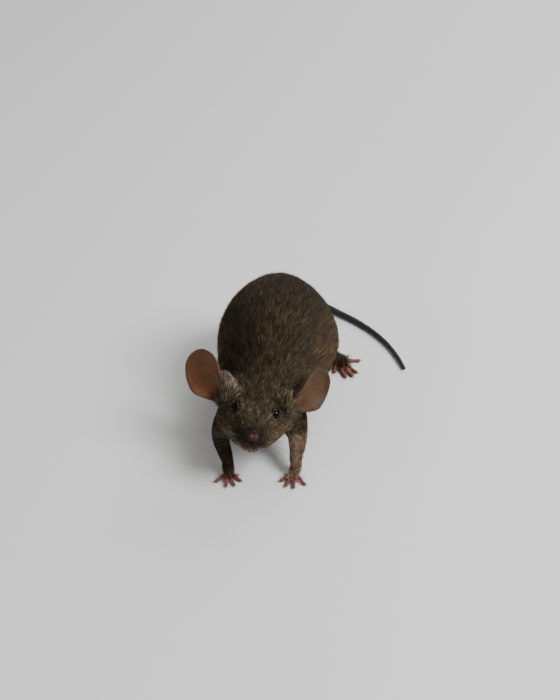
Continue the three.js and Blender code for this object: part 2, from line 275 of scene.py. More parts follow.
addZone("muzzle", inHead((0, 0.8, -1.4)), inHead((0, 5.0, -1.8)), 4.4, 0.28, 0.9, 0.08, 85)
addZone("skull", inHead((0, 8.0, -1.4)), inHead((0, 15.0, -1.0)), 8.0, 0.7, 2.1, 0.105, 62)
addZone("neck", atHome((0, 13.0, 18.0)), atHome((0, 22.0, 18.0)), 13.0, 1.3, 3.6, 0.135, 40)
addZone("back", atHome((0, 28.0, 18.0)), atHome((0, 48.0, 17.0)), 17.5, 1.7, 4.4, 0.155, 31)
addZone("rump", atHome((0, 52.0, 16.0)), atHome((0, 62.0, 13.0)), 13.0, 1.6, 4.3, 0.155, 31,
        flow=(0, 1, -0.3))
for name, side in sides.items():
    root, tip = inHead((side * 5.6, 15.8, 4.8)), inHead((side * 8.8, 16.8, 8.4))
    flow = head.to_3x3() @ Vector((side * 0.5, 0.7, 0.45))
    addZone("earFold", root, tip, 2.3, 0.3, 1.3, 0.085, 62, flow=flow)
    leg = legs[name]
    shoulder, elbow, wrist, heel, hip, knee = (
        atHome(onSide(spot, side))
        for spot in (leg["shoulder"], leg["elbow"], leg["wrist"], leg["heel"], legs["hip"], legs["knee"])
    )
    addZone("upperArm", shoulder, elbow, 4.6, 0.85, 2.2, 0.11, 52)
    addZone("forearm", elbow, wrist, 2.6, 0.55, 1.3, 0.085, 72)
    addZone("thigh", hip, knee, 8.5, 1.4, 3.9, 0.145, 33, flow=(0.15 * side, 1, -0.5))
    addZone("shank", knee, heel, 3.2, 0.6, 1.8, 0.095, 56)


def zoneBlend(points, sharpness=8):
    # depth, hair, width and number, and the lie of the coat at each point, blended between zones
    away = np.stack([distanceTo(points, z["start"], z["end"]) / z["reach"] for z in zones])
    weights = (away + 0.05) ** -sharpness
    weights /= weights.sum(0)
    values = np.einsum("zp,zk->kp", weights, np.stack([z["values"] for z in zones]))
    flow = unit(np.einsum("zp,zk->pk", weights, np.stack([z["flow"] for z in zones])))
    return values, flow


# ---- skin: the body under the coat ----
bodyForm = {
    "nodes": ("head", "lower_jaw", "neck", "chest", "rump", "thigh_left", "thigh_right", "shank_left",
              "shank_right", "foreleg_left", "foreleg_right", "eye_left", "eye_right"),
    "closeGap": 0.25,  # each part swells by this so that the parting gaps close
    "voxel": 0.4,
    "smoothing": 34,
}


def makeBody():
    obj = nodeCopy(bodyForm["nodes"], "body")
    writePoints(obj, readPoints(obj) + readNormals(obj) * bodyForm["closeGap"])
    applyModifier(obj, "REMESH", mode="VOXEL", voxel_size=bodyForm["voxel"])
    applyModifier(obj, "SMOOTH", factor=0.5, iterations=bodyForm["smoothing"])
    points = readPoints(obj)
    depth = zoneBlend(points)[0][0] + bodyForm["closeGap"]
    writePoints(obj, points - readNormals(obj) * depth[:, None])
    applyModifier(obj, "SMOOTH", factor=0.5, iterations=4)
    return obj


# Ears: a scoop at the root that opens into a shallow dish, in the head's frame.
ear = {
    "sunk": 0.14,  # share of the length that runs on inside the head
    "thickness": 0.46,
    "widest": 6.8,
    "rootWidth": 3.2,
    "widestAt": 0.5,
    "rootRoll": 96,  # degrees of half the scoop's arc, and of the dish's
    "tipRoll": 22,
    "rootSink": 2.0,  # how far the scoop's root sits back into the head
    "innerRoot": 0.3,  # share of the scoop's inner half that is left at its root
    "openAt": 0.42,
    "innerOpenAt": 0.62,
    "fullness": 0.8,  # lower for a broader root
    "rows": 64,
    "columns": 44,
    "rimCurl": 0.4,
    "cup": 1.2,  # how far the tip comes forward
    "left": {"length": 14.1, "root": (9.2, 15.4, 1.6), "along": (0.52, 0.44, 0.73),
             "facing": (0.78, -0.62, 0.1)},
    "right": {"length": 14.8, "root": (8.5, 15.6, 1.9), "along": (0.6, 0.46, 0.66),
              "facing": (0.58, -0.8, 0.06)},
}


def earAxes(name):
    side = sides[name]
    along = unit(np.array(onSide(ear[name]["along"], side)))
    facing = np.array(onSide(ear[name]["facing"], side))
    facing = unit(facing - along * (facing @ along))
    return np.array(onSide(ear[name]["root"], side)), along, facing, np.cross(along, facing)


def earSection(share):
    # half width, half roll and how far the ear sits back, at shares of its length
    opened = np.sin(np.clip(share / ear["widestAt"], 0, 1) * math.pi / 2) ** ear["fullness"]
    beyond = np.clip((share - ear["widestAt"]) / (1 - ear["widestAt"]), 0, 0.9997)
    width = (ear["rootWidth"] + (ear["widest"] - ear["rootWidth"]) * opened) * (1 - beyond**2) ** 0.455
    toRoot = (1 - np.clip(share, 0, 1)) ** 1.5
    roll = np.radians(ear["tipRoll"] + (ear["rootRoll"] - ear["tipRoll"]) * toRoot)
    return width, roll, ear["rootSink"] * (1 - smoothStep(0, ear["openAt"], share))


def makeEar(name):
    root, along, facing, across = earAxes(name)
    bpy.ops.mesh.primitive_grid_add(x_subdivisions=ear["rows"], y_subdivisions=ear["columns"], size=2)
    obj = bpy.context.object
    grid = readPoints(obj)
    row, turn = (grid[:, 0] + 1) / 2, grid[:, 1]
    middle = 0.45  # the row that is widest
    above = np.clip((row - middle) / (1 - middle), 0, 1) * math.radians(88.5)
    share = np.clip(row / middle, 0, 1) * (ear["widestAt"] + ear["sunk"]) - ear["sunk"]
    share = share + (1 - ear["widestAt"]) * np.sin(above)
    width, roll, sink = earSection(share)
    radius = width / roll
    innerShare = ear["innerRoot"] + (1 - ear["innerRoot"]) * smoothStep(0, ear["innerOpenAt"], share)
    angle = roll * turn * np.where(turn * sides[name] < 0, innerShare, 1)
    beyond = np.clip((share - ear["widestAt"]) / (1 - ear["widestAt"]), 0, 1)
    toRim = np.sqrt(turn**2 * (1 - beyond**2) + beyond**2)
    curl = ear["rimCurl"] * smoothStep(0.82, 1.0, toRim) * smoothStep(0.1, 0.4, share)
    curl += ear["cup"] * beyond**2
    points = (
        root
        + share[:, None] * ear[name]["length"] * along
        + (radius * np.sin(angle))[:, None] * across
        + (radius - radius * np.cos(angle) + curl - sink)[:, None] * facing
    )
    writePoints(obj, placed(head, points))
    applyModifier(obj, "SOLIDIFY", thickness=ear["thickness"], offset=0)
    return obj


# The furry fold that runs from each ear's inner edge down to the crown, and the mounds before the ear's
# root, in the head's frame.
fold = {
    "left": {"ends": ((6.0, 15.6, 4.2), (8.2, 16.2, 5.6)), "radii": (1.2, 1.0)},
    "right": {"ends": ((6.1, 15.7, 5.1), (9.2, 16.8, 8.5)), "radii": (1.45, 1.35)},
    "mounds": (((7.3, 15.0, 4.0), (1.9, 1.6, 2.3)), ((8.2, 14.9, 1.7), (1.4, 1.3, 1.8))),
    "smoothing": 34,
}


def makeFold(name):
    ends = [inHead(onSide(p, sides[name])) for p in fold[name]["ends"]]
    first, last = fold[name]["radii"]
    pieces = [limb(ends, (first, last), sides=5)]
    pieces += [ball(end, (radius,) * 3, segments=16) for end, radius in zip(ends, (first, last))]
    for centre, radii in fold["mounds"]:
        mound = ball(onSide(centre, sides[name]), radii, segments=20)
        mound.data.transform(head)
        pieces.append(mound)
    return join(pieces, "fold")


def earPlace(points):
    # where points lie on the ear of their side: share of its length, turn towards its inner edge, and in
    # front of the dish or behind it
    inside = placed(head.inverted(), points)
    share, turn, front = np.zeros(len(points)), np.zeros(len(points)), np.zeros(len(points))
    for name, side in sides.items():
        root, along, facing, across = earAxes(name)
        mine = inside[:, 0] * side > 0
        away = inside[mine] - root
        t = (away @ along) / ear[name]["length"]
        width, roll, sink = earSection(t)
        radius = width / roll
        forward = away @ facing + sink
        angle = np.arctan2(away @ across, radius - forward)
        share[mine], turn[mine] = t, -side * angle / roll
        front[mine] = radius - np.hypot(away @ across, radius - forward)
    return share, turn, front


# Feet: digits as sideways and forward reach of their roots and tips, for a left foot at the origin.
forefoot = {
    "palm": ((0, 1.4, 3.4), (0, 0.2, 1.9), (0, -1.2, 1.05), (0, -2.6, 0.85)),
    "palmRadii": (1.2, 1.25, 1.35, 1.15),
    "digits": (((-1.15, -2.1), (-2.9, -4.0)), ((-0.45, -2.7), (-1.1, -5.5)),
               ((0.45, -2.7), (1.0, -5.6)), ((1.15, -2.1), (3.5, -3.6))),
    "digitRadius": 0.48,
    "clawLength": 1.1,
}
hindfoot = {
    "palm": ((0, 0.8, 2.6), (0, -0.8, 1.5), (0, -5.0, 1.05), (0, -8.4, 1.0), (0, -10.2, 0.9)),
    "palmRadii": (1.3, 1.35, 1.25, 1.5, 1.25),
    "digits": (((-1.35, -8.4), (-3.4, -10.9)), ((-1.0, -10.0), (-1.9, -14.6)), ((0.0, -10.3), (0.1, -15.3)),
               ((1.0, -10.0), (2.1, -14.6)), ((1.4, -8.0), (6.0, -10.2))),
    "digitRadius": 0.55,
    "clawLength": 1.3,
}


def footFrames():
    for name, side in sides.items():
        for design, spot, turn in ((forefoot, "wrist", "foreTurn"), (hindfoot, "heel", "hindTurn")):
            mirror = Matrix.Diagonal((side, 1, 1, 1))
            place = Matrix.Translation((*legs[name][spot][:2], 0))
            yield design, home @ mirror @ place @ turned(legs[name][turn], "Z")


def makeFeet():
    pieces = []
    for design, frameOfFoot in footFrames():
        def put(points):
            return [frameOfFoot @ Vector(p) for p in points]

        r = design["digitRadius"]
        pieces.append(limb(put(design["palm"]), design["palmRadii"], sides=5))
        for root, tip in design["digits"]:
            root, tip = np.array(root), np.array(tip)
            spots = [root + (tip - root) * t for t in (0, 0.36, 0.7, 0.97)]
            heights = (1.1, 1.1, 0.66, r)
            points = put([(*spot, z) for spot, z in zip(spots, heights)])
            pieces.append(limb(points, (1.2 * r, 1.0 * r, 0.9 * r, 0.95 * r), sides=4))
            for knuckle, z, size in ((3, r * 0.98, 1.12), (1, 1.02, 1.12), (2, 0.6, 1.04)):
                pieces.append(ball(frameOfFoot @ Vector((*spots[knuckle], z)), (r * size,) * 3, segments=14))
    return pieces


tail = {
    "line": ((0.4, 60.5, 12.8), (-0.4, 66.8, 9.2), (-1.6, 71.6, 4.6), (-2.2, 76.6, 1.9),
             (-0.6, 81.8, 1.45), (4.0, 84.4, 1.35), (9.6, 83.0, 1.3), (15.4, 79.5, 1.22),
             (22.2, 74.9, 1.1), (28.6, 68.9, 1.0), (33.7, 61.8, 0.9), (37.6, 53.4, 0.8)),
    "base": 2.15,
    "onFloor": 1.28,
    "tip": 0.52,
    "dropShare": 0.22,
    "ringPitch": 0.42,  # of its rings of scales
}


def tailRadius(share):
    drop = tail["dropShare"]
    if share < drop:
        return tail["base"] + (tail["onFloor"] - tail["base"]) * share / drop
    return tail["onFloor"] + (tail["tip"] - tail["onFloor"]) * (share - drop) / (1 - drop)


def tailPlace(points):
    # length along the tail's line in mm, and the line's direction, at the nearest place to each point
    line = np.array([atHome(p) for p in tail["line"]])
    starts, ways = line[:-1], line[1:] - line[:-1]
    lengths = np.linalg.norm(ways, axis=1)
    runs = np.concatenate(([0], np.cumsum(lengths)))[:-1]
    t = np.clip(((points[:, None] - starts) * ways).sum(2) / lengths**2, 0, 1)
    away = np.linalg.norm(points[:, None] - starts - t[..., None] * ways, axis=2)
    nearest, rows = away.argmin(1), np.arange(len(points))
    return runs[nearest] + t[rows, nearest] * lengths[nearest], ways[nearest] / lengths[nearest][:, None]


def makeTail():
    points = [atHome(p) for p in tail["line"]]
    lengths = np.cumsum([0] + [(b - a).length for a, b in zip(points, points[1:])])
    return limb(points, [tailRadius(share) for share in lengths / lengths[-1]], sides=6, steps=10)


# Eyes and lids, in the head's frame.
eye = {
    "outward": (0.70, -0.33, 0.64),  # the left eye's axis
    "slant": (0.25, 0.88, 0.4),  # from its inner corner to its outer one
    "opening": 1.5,
    "lidThickness": 0.13,
    "corner": 0.26,  # how far the lids draw out at each corner
    "hollow": 1.66,  # radius of the skin's opening under the lids
    "settle": 3.9,  # radius where the skin is the head's own again
}
eyeSize = (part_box("eye_left")[1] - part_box("eye_left")[0]).z / mm / 2


def eyeCentre(name):
    low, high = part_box("eye_" + name)
    return (low + high) / 2 / mm


def eyeFrame(name):
    turn = head.to_3x3()
    outward = (turn @ Vector(onSide(eye["outward"], sides[name]))).normalized()
    slant = turn @ Vector(onSide(eye["slant"], sides[name]))
    slant = (slant - outward * slant.dot(outward)).normalized()
    axes = Matrix((slant, outward.cross(slant), outward)).transposed().to_4x4()
    return Matrix.Translation(eyeCentre(name)) @ axes


def makeLid(name):
    # a ring that hugs the eyeball, drawn out a little at the corners
    bpy.ops.mesh.primitive_torus_add(major_radius=1, minor_radius=eye["lidThickness"],
                                     major_segments=64, minor_segments=14)
    obj = bpy.context.object
    ring = readPoints(obj)
    outer = np.hypot(ring[:, 0], ring[:, 1])
    angle = np.arctan2(ring[:, 1], ring[:, 0])
    opening = eye["opening"] + eye["corner"] * np.cos(angle) ** 6 - 0.08 * np.sin(angle) ** 2
    onBall = np.sqrt(np.maximum((eyeSize + 0.03) ** 2 - np.minimum(opening, eyeSize) ** 2, 0))
    reach = opening + (outer - 1)
    points = np.stack((np.cos(angle) * reach, np.sin(angle) * reach, onBall + ring[:, 2]), 1)
    writePoints(obj, placed(eyeFrame(name), points))
    setValue(obj, "lid", 0.6 + 0.4 * (outer - 1) / eye["lidThickness"])
    return obj


# Dabs: where the head swells or sinks: centre in the head's frame, radius and push, on both sides.
dabs = (
    ((2.7, 2.9, -2.3), 1.7, 0.5),  # whisker pad
    ((7.6, 12.5, -4.0), 3.2, 0.5),  # cheek
    ((4.2, 6.7, 0.8), 1.7, -0.3),  # hollow between the eye and the pad
    ((5.2, 13.6, 5.1), 2.0, 0.35),  # brow behind the eye
    ((0.9, 2.9, -5.2), 1.6, 0.7),  # chin
    ((0.0, 1.3, -0.5), 1.6, 0.7),  # rim round the nose pad
    ((0.0, 4.0, 2.6), 1.6, -0.1),  # bridge of the nose
)
mouth = {
    "line": ((0.0, -1.2), (0.0, -2.7), (0.8, -3.35), (2.0, -3.95), (3.6, -4.2)),  # sideways and up
    "width": 0.26,
    "depth": 0.55,
    "back": 6.5,  # behind the nose, where the corners end
}


def shapeFace(obj):
    points, normals = readPoints(obj), readNormals(obj)
    inside = placed(head.inverted(), points)
    push = np.zeros(len(points))
    for centre, radius, height in dabs:
        for side in (1, -1) if centre[0] else (1,):
            away = np.linalg.norm(inside - np.array(onSide(centre, side)), axis=1)
            push += height * gauss(away / radius)
    away = lineDistance(np.stack((np.abs(inside[:, 0]), inside[:, 2]), 1), mouth["line"])
    push -= mouth["depth"] * gauss(away / mouth["width"]) * smoothStep(mouth["back"], 3.5, inside[:, 1])
    points = points + normals * push[:, None]
    for name in sides:
        # round each eye the skin rises or sinks to the lids, and passes under the eyeball inside them
        frameOfEye = eyeFrame(name)
        local = placed(frameOfEye.inverted(), points)
        out = np.hypot(local[:, 0], local[:, 1])
        rim = math.sqrt(eyeSize**2 - eye["opening"] ** 2) - 0.12
        wanted = 0.1 + (rim - 0.1) * smoothStep(eye["opening"] - 0.2, eye["hollow"], out)
        keep = smoothStep(eye["hollow"], eye["settle"], out)
        near = local[:, 2] > -2.5
        local[:, 2] = np.where(near, wanted * (1 - keep) + local[:, 2] * keep, local[:, 2])
        points = np.where((near & (out < eye["settle"]))[:, None], placed(frameOfEye, local), points)
    writePoints(obj, points)


# The nose pad, in the head's frame: two lobes with a groove between, and a curved slit in each.
nosePad = {
    "centre": (0, 0.68, -0.35),
    "radii": (1.42, 0.9, 0.98),
    "groove": 0.2,
    "slit": ((0.42, -0.42), (0.78, -0.52), (1.08, -0.28), (1.16, 0.1)),  # sideways and up
    "slitWidth": 0.13,
    "slitDepth": 0.42,
}


def makeNose():
    bpy.ops.mesh.primitive_ico_sphere_add(subdivisions=6, radius=1)
    obj = bpy.context.object
    obj.name = obj.data.name = "nose_pad"
    ball = readPoints(obj)
    points = ball * np.array(nosePad["radii"])
    sideways, upward = np.abs(points[:, 0]), points[:, 2]
    front = smoothStep(0.1, -0.4, ball[:, 1])
    swell = 1 + 0.1 * gauss((sideways - 0.75) / 0.4) * front
    swell -= 0.12 * gauss(sideways / 0.3) * smoothStep(0.2, 1.0, ball[:, 2])
    points *= swell[:, None]
    away = lineDistance(np.stack((sideways, upward), 1), nosePad["slit"])
    pit = gauss(away / nosePad["slitWidth"]) * front
    cleft = gauss(sideways / 0.12) * smoothStep(0.7, -0.1, upward) * front
    points[:, 1] += pit * nosePad["slitDepth"] + cleft * nosePad["groove"]
    writePoints(obj, placed(head, points + np.array(nosePad["centre"])))
    # where the nostril slits and the groove between the lobes lie, for their painted shade
    setValue(obj, "pit", np.maximum(pit, cleft * 0.6))
    back, top = smoothStep(-0.75, 0.0, ball[:, 1]), smoothStep(0.3, 0.85, ball[:, 2])
    setValue(obj, "rim", np.maximum(back, top))
    return smooth(obj)


skinMesh = {"voxel": 0.2, "smoothing": 3, "rootSmoothing": 10, "triangles": 180000}


def treeOf(objs):
    # a search tree over the faces of a few objects
    points, faces, start = [], [], 0
    for obj in objs:
        points.append(readPoints(obj))
        faces += [[start + v for v in face.vertices] for face in obj.data.polygons]
        start += len(points[-1])
    return BVHTree.FromPolygons(np.concatenate(points).tolist(), faces)


def nearness(tree, points, low, high):
    # 1 where a point is nearer than `low` to the tree's faces, 0 beyond `high`
    away = np.array([tree.find_nearest(p, high * 1.5)[3] or high * 2 for p in points.tolist()])
    return 1 - smoothStep(low, high, away)


def smoothPart(obj, weights, iterations):
    group = obj.vertex_groups.new(name="part")
    for i in np.flatnonzero(weights > 0.01):
        group.add((int(i),), float(weights[i]), "REPLACE")
    applyModifier(obj, "SMOOTH", factor=0.5, iterations=iterations, vertex_group="part")
    obj.vertex_groups.clear()


def makeSkin():
    folds = [makeFold(name) for name in sides]
    foldTree = treeOf(folds)
    bodyPart = join([makeBody(), *folds], "body")
    applyModifier(bodyPart, "REMESH", mode="VOXEL", voxel_size=bodyForm["voxel"])
    smoothPart(bodyPart, nearness(foldTree, readPoints(bodyPart), 1.2, 3.8), fold["smoothing"])
    ears = [makeEar(name) for name in sides]
    feet = makeFeet()
    tailPart = makeTail()
    bodyTree = treeOf([bodyPart])
    trees = {"ear": treeOf(ears), "foot": treeOf(feet), "tail": treeOf([tailPart])}
    obj = join([bodyPart, *ears, *feet, tailPart], "skin")
    print("stage: parts of the skin joined,", len(obj.data.polygons), "faces")
    applyModifier(obj, "REMESH", mode="VOXEL", voxel_size=skinMesh["voxel"])
    print("stage: one skin,", len(obj.data.polygons), "faces")
    applyModifier(obj, "SMOOTH", factor=0.5, iterations=skinMesh["smoothing"])
    points = readPoints(obj)
    nearPart = np.max([nearness(tree, points, 0.6, 1.6) for tree in trees.values()], axis=0)
    smoothPart(obj, nearPart * nearness(bodyTree, points, 0.6, 1.6), skinMesh["rootSmoothing"])
    shapeFace(obj)
    applyModifier(obj, "DECIMATE", ratio=skinMesh["triangles"] / (2 * len(obj.data.polygons)))
    points = readPoints(obj)
    points[:, 2] = np.maximum(points[:, 2], 0)
    writePoints(obj, points)
    body = nearness(bodyTree, points, 0.25, 0.9)
    share, turn, _ = earPlace(points)
    furred = smoothStep(0.05, -0.05, share - 0.03 - 0.17 * np.clip(turn, 0, 1))  # furthest up the inner edge
    for part, tree in trees.items():
        mask = nearness(tree, points, 0.3, 0.8) * (1 - body)
        setValue(obj, part, mask)
        setValue(obj, part + "Bare", mask * (1 - furred) if part == "ear" else mask)
    setValue(obj, "earShare", share)
    setValue(obj, "earTurn", turn)
    setValue(obj, "tailRun", tailPlace(points)[0])
    lids = [makeLid(name) for name in sides]
    return smooth(join([obj, *lids], "skin"))


skin = makeSkin()
nose = makeNose()
print("stage: skin has", len(skin.data.polygons), "faces")


# ---- claws ----
claw = {"radius": 0.19, "rise": 0.25, "drop": 0.28}


def makeClaws():
    pieces = []
    for design, frameOfFoot in footFrames():
        for root, tip in design["digits"]:
            root, tip = np.array(root), np.array(tip)
            way = unit(tip - root)
            height = design["digitRadius"] * 1.15
            points = []
            arch = ((-0.25, height), (0.25, height + claw["rise"] * 0.6), (0.7, height), (1.0, claw["drop"]))
            for share, z in arch:
                points.append(frameOfFoot @ Vector((*(tip + way * share * design["clawLength"]), z)))
            r = claw["radius"]
            pieces.append(limb(points, (r, r * 0.95, r * 0.6, 0.03), sides=3, steps=6))
    return smooth(join(pieces, "claws"))


claws = makeClaws()

# ---- whiskers ----
whisker = {
    "rows": ((-1.5, 3), (-2.2, 4), (-2.9, 4), (-3.5, 3)),  # height and number of each
    "front": 2.0,
    "spacing": 0.95,
    "length": (7.0, 18.0),  # front one, back one
    "radius": 0.04,
    "steps": 9,
    "sag": 0.2,
}


def makeWhiskers():
    tree = treeOf([skin])
    pieces = []
    for side in (1, -1):
        for k, (height, number) in enumerate(whisker["rows"]):
            for i in range(number):
                behind = whisker["front"] + whisker["spacing"] * (i + 0.3 * (k % 2))
                outside = inHead((side * 8, behind, height))
                inner = inHead((0, behind + 0.5, height))
                root = tree.ray_cast(outside, (inner - outside).normalized())[0]
                share = i / (number - 1)
                length = whisker["length"][0] + (whisker["length"][1] - whisker["length"][0]) * share
                length *= rng.uniform(0.85, 1.1)
                way = Vector((side * 1.0, -0.4 + 1.1 * share + rng.uniform(-0.2, 0.2),
                              0.3 - 0.24 * k + rng.uniform(-0.14, 0.14)))
                way = (head.to_3x3() @ way).normalized()
                points, radii = [], []
                for t in (-0.03, 0.25, 0.6, 1.0):
                    bend = Vector((0, 0.22 * t * t, -whisker["sag"] * t * t)) * length
                    point = root + way * (length * t) + bend
                    point.z = max(point.z, 0.3)
                    points.append(point)
                    radii.append(whisker["radius"] * (1 - 0.85 * max(t, 0)))
                pieces.append(limb(points, radii, sides=1, steps=whisker["steps"]))
    return smooth(join(pieces, "whiskers"))


whiskers = makeWhiskers()
print("stage: claws and whiskers made")

# ---- coat ----
# Tufts are closed spikes of five points: a base under the skin, a ring of three, and a tip laid along it.
coat = {
    "pieceLimit": 33000,  # tufts in one piece
    "sunk": 0.2,  # of the base point under the skin
    "bend": 1.7,  # how soon a tuft lies down
    "ringShare": 0.42,  # of the tuft's length, at its widest
    "stray": 0.15,  # random turn of each tuft
    "clump": 0.45,  # how far tips draw together
    "clumpSize": 0.38,
    "patchSize": 0.7,
    "thickness": 0.5,  # of the tuft against its width
    "byTail": 0.4,  # hair and depth that are left at the tail's root, and so on
    "byWrist": 0.42,
    "byEye": {"hair": 0.38, "width": 0.7, "depth": 0.25},
    "bright": 0.93,
    "patchShade": 0.2,  # how much lighter or darker patches, clumps and hairs are
    "clumpShade": 0.8,
    "hairShade": 0.42,
    "standShare": 0.05,  # of the tufts that stand out of the coat
}
colours = {  # middle of a hair by region
    "back": (0.0375, 0.0255, 0.0125),
    "flank": (0.076, 0.0440, 0.0185),
    "belly": (0.105, 0.078, 0.050),
    "face": (0.066, 0.050, 0.0265),
    "cheek": (0.106, 0.054, 0.0160),
    "muzzle": (0.027, 0.0118, 0.0072),
    # painted shade in the mouth's slit
    "mouthShade": (0.010, 0.0055, 0.0045),
    # pale fur at the ears' roots; where it is laid on the folds it also carries painted light
    "earBase": (0.215, 0.168, 0.124),
    "eyeRim": (0.125, 0.088, 0.050),
    "leg": (0.088, 0.058, 0.0370),
    "chin": (0.350, 0.260, 0.205),
    "earHair": (0.130, 0.092, 0.058),
    "footHair": (0.075, 0.048, 0.033),
    "tailHair": (0.035, 0.031, 0.028),
}
skinPoints, skinNormals = readPoints(skin), readNormals(skin)
skinTree = treeOf([skin])
bareFoot = readValue(skin, "footBare") * (1 - 0.75 * smoothStep(1.0, 2.0, skinPoints[:, 2]))
bareTail = readValue(skin, "tailBare") * smoothStep(1.5, 6.5, tailPlace(skinPoints)[0])
bare = np.max((readValue(skin, "earBare"), readValue(skin, "lid"), bareFoot, bareTail), axis=0)


def scatter(number):
    # points on the skin with `number` for each mm2, given at each of its vertices
    mesh = skin.data
    mesh.calc_loop_triangles()
    corners = np.empty(len(mesh.loop_triangles) * 3, np.int32)
    mesh.loop_triangles.foreach_get("vertices", corners)
    corners = corners.reshape(-1, 3)
    a, b, c = (skinPoints[corners[:, k]] for k in range(3))
    share = np.linalg.norm(np.cross(b - a, c - a), axis=1) / 2 * number[corners].mean(1)
    edges = np.cumsum(share)
    count = int(edges[-1])
    picks = (np.arange(count) + rng.random(count)) * edges[-1] / count
    triangle = np.minimum(np.searchsorted(edges, picks), len(corners) - 1)
    first, second = np.sqrt(rng.random(count)), rng.random(count)
    weights = np.stack((1 - first, first * (1 - second), first * second), 1)
    spots = np.einsum("nk,nkd->nd", weights, skinPoints[corners[triangle]])
    normals = unit(np.einsum("nk,nkd->nd", weights, skinNormals[corners[triangle]]))
    return spots, normals


def onSkin(points):
    # the nearest points of the skin and its normals there
    found = [skinTree.find_nearest(p)[:2] for p in points.tolist()]
    return np.array([f[0] for f in found]), np.array([f[1] for f in found])


# Patches of colour on both sides of the head: colour, centre in the head's frame, radius and strength.
headPatches = (
    ("cheek", (6.8, 8.6, -2.6), 3.0, 0.9),
    ("cheek", (5.4, 10.0, 4.4), 1.5, 0.5),
    ("muzzle", (1.2, 1.2, -0.4), 2.6, 1.0),
    ("muzzle", (2.4, 2.6, -2.6), 1.9, 0.9),
    ("chin", (1.7, 2.8, -5.4), 2.1, 1.0),
    ("back", (2.0, 13.5, 5.0), 3.8, 0.85),
)
marks = {
    "eyeRim": {"radius": 2.2, "width": 0.5, "strength": 0.55},
    # the fold's pale patch is partly the fold's pale fur and partly painted light: full on the right side, a
    # fifth of it on the left
    "fold": {"ends": ((7.4, 15.6, 6.2), (9.4, 17.0, 9.2)), "width": 2.6, "left": 0.2, "right": 1.0},
    "mouthShadeWidth": 0.42,
    "leg": {"left": 3.0, "right": 0.55},  # painted light and shade: the left foreleg is painted paler, as lit, and the right one darker, as in shade
}


def regionColour(points, normals):
    layoutPoints = placed(home.inverted(), points)
    inside = placed(head.inverted(), points)
    mirrored = np.concatenate((np.abs(inside[:, :1]), inside[:, 1:]), axis=1)
    tone = np.array(colours["back"]) * np.ones((len(points), 1))

    def lay(colour, share):
        nonlocal tone
        tone = tone * (1 - share[:, None]) + np.array(colour) * share[:, None]

    low = smoothStep(0.25, -0.75, normals[:, 2]) * smoothStep(14, 7, layoutPoints[:, 2])
    lay(colours["flank"], smoothStep(0.75, 0.0, normals[:, 2]))
    lay(colours["face"], smoothStep(19.0, 14.5, inside[:, 1]) * smoothStep(-9.5, -8.0, inside[:, 2]))
    lay(colours["belly"], low)
    aside = 3.5 * smoothStep(4, 7, np.abs(layoutPoints[:, 0]))  # higher up on the legs than on the chest
    ahead = smoothStep(20, 16, layoutPoints[:, 1])
    # painted light and shade on the forelegs: lighter on the left leg, darker on the right one
    legLightAndShade = np.where(layoutPoints[:, :1] > 0, marks["leg"]["left"], marks["leg"]["right"])
    lay(np.array(colours["leg"]) * legLightAndShade, smoothStep(9.5, 6.5, layoutPoints[:, 2] - aside) * ahead)
    for name, centre, radius, strength in headPatches:
        lay(colours[name], gauss(np.linalg.norm(mirrored - np.array(centre), axis=1) / radius) * strength)
    ring, pale = marks["eyeRim"], marks["fold"]
    away = np.linalg.norm(mirrored - placed(head.inverted(), [eyeCentre("left")]), axis=1)
    lay(colours["eyeRim"], ring["strength"] * gauss((away - ring["radius"]) / ring["width"]))
    # pale fur over the fold before each ear, partly painted light: painted on fully on the right side and
    # weakly on the left
    fromFold = distanceTo(mirrored, *(np.array(end) for end in pale["ends"]))
    foldPaleAndLit = np.where(inside[:, 0] > 0, pale["left"], pale["right"])
    lay(colours["earBase"], foldPaleAndLit * gauss(fromFold / pale["width"]))
    # painted shade: the fur along the mouth's slit is painted near black
    fromMouth = lineDistance(mirrored[:, (0, 2)], mouth["line"][1:])
    lay(colours["mouthShade"], gauss(fromMouth / marks["mouthShadeWidth"]) * smoothStep(mouth["back"], 3.5, mirrored[:, 1]))
    return tone


def tuftMesh(name, rings, tints, places):
    # the five points, the colour and the place on the map of each tuft
    count = len(rings)
    shape = np.array([(0, 2, 1), (0, 3, 2), (0, 1, 3), (1, 2, 4), (2, 3, 4), (3, 1, 4)])
    faces = (np.arange(count)[:, None, None] * 5 + shape).reshape(-1)
    mesh = bpy.data.meshes.new(name)
    mesh.vertices.add(count * 5)
    mesh.vertices.foreach_set("co", rings.astype(np.float32).ravel())
    mesh.loops.add(len(faces))
    mesh.loops.foreach_set("vertex_index", faces.astype(np.int32))
    mesh.polygons.add(len(faces) // 3)
    mesh.polygons.foreach_set("loop_start", np.arange(0, len(faces), 3, dtype=np.int32))
    mesh.update(calc_edges=True)
    mesh.shade_smooth()
    spots = (places[:, None, :] + mapPatch).reshape(-1, 2)[faces]
    mesh.uv_layers.new(name="OFBake").data.foreach_set("uv", spots.astype(np.float32).ravel())
    tints = np.repeat(np.concatenate((tints, np.ones((count, 1))), axis=1), 5, axis=0)
    tint = mesh.attributes.new("tint", "FLOAT_COLOR", "POINT")
    tint.data.foreach_set("color", tints.astype(np.float32).ravel())
    along = mesh.attributes.new("along", "FLOAT", "POINT")
    along.data.foreach_set("value", np.tile(np.array(tuftShares), count).astype(np.float32))
    obj = bpy.data.objects.new(name, mesh)
    bpy.context.collection.objects.link(obj)
    return obj


tuftShares = (0, *(coat["ringShare"],) * 3, 1)  # of a tuft's length, at its five points
mapPatch = 0.003 * (np.stack(((0.5, 0, 1, 0.5, 0.5), tuftShares), 1) - 0.5)  # of a tuft on its piece's map


